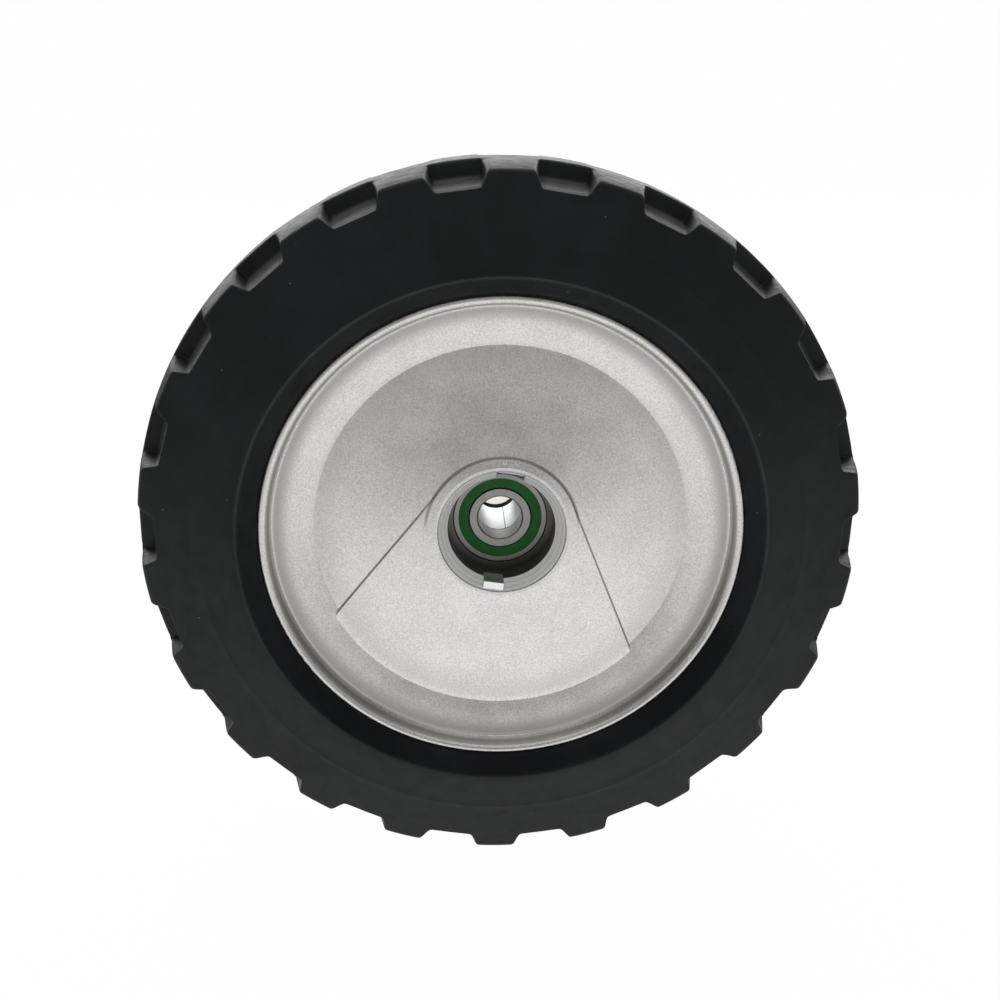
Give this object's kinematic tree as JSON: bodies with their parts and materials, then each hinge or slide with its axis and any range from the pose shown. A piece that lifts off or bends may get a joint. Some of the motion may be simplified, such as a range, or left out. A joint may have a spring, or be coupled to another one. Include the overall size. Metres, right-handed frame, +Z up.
{
  "type": "mower wheel",
  "caption": "Mower wheel with a lugged solid rubber tyre on a die-cast aluminium centre, running on sealed ball bearings with a spacer tube.",
  "frame": {"origin": "on the axle line, in the middle plane of the tyre", "axes": "the axle line is Y with the outer face towards -Y and the machine side towards +Y; Z is up"},
  "size_m": [0.2424, 0.0647, 0.2424],
  "materials": {
    "tyre_rubber": "matt black moulded rubber",
    "cast_aluminium": "fine shot-blasted casting",
    "bearing_steel": "ground bearing steel",
    "ball_steel": "polished bearing steel",
    "cage_steel": "pressed steel sheet",
    "seal_rubber": "green moulded seal rubber",
    "spacer_steel": "bright plated rolled tube"
  },
  "bodies": {
    "axle_sleeve": {"front_bearing_inner_race": "bearing_steel", "rear_bearing_inner_race": "bearing_steel", "spacer_tube": "spacer_steel"},
    "wheel": {"tyre": "tyre_rubber", "wheel_casting": "cast_aluminium", "front_bearing_outer_race": "bearing_steel", "front_bearing_seal_outboard": "seal_rubber", "front_bearing_seal_inboard": "seal_rubber", "rear_bearing_outer_race": "bearing_steel", "rear_bearing_seal_outboard": "seal_rubber", "rear_bearing_seal_inboard": "seal_rubber"},
    "front_ball_ring": {"front_bearing_balls": "ball_steel", "front_bearing_cage_outboard": "cage_steel", "front_bearing_cage_inboard": "cage_steel", "front_bearing_cage_rivets": "cage_steel"},
    "rear_ball_ring": {"rear_bearing_balls": "ball_steel", "rear_bearing_cage_outboard": "cage_steel", "rear_bearing_cage_inboard": "cage_steel", "rear_bearing_cage_rivets": "cage_steel"}
  },
  "joints": [
    {"name": "wheel_spin", "type": "hinge", "parent": "axle_sleeve", "child": "wheel", "pos_m": [0, 0, 0], "axis": [0, 1, 0], "continuous": true},
    {"name": "front_ball_ring_spin", "type": "hinge", "parent": "axle_sleeve", "child": "front_ball_ring", "pos_m": [0, -0.0018, 0], "axis": [0, 1, 0], "continuous": true},
    {"name": "rear_ball_ring_spin", "type": "hinge", "parent": "axle_sleeve", "child": "rear_ball_ring", "pos_m": [0, 0.0322, 0], "axis": [0, 1, 0], "continuous": true}
  ],
  "couplings": [
    {"joint": "front_ball_ring_spin", "follows": "wheel_spin", "ratio": 0.6013},
    {"joint": "rear_ball_ring_spin", "follows": "wheel_spin", "ratio": 0.6013}
  ]
}
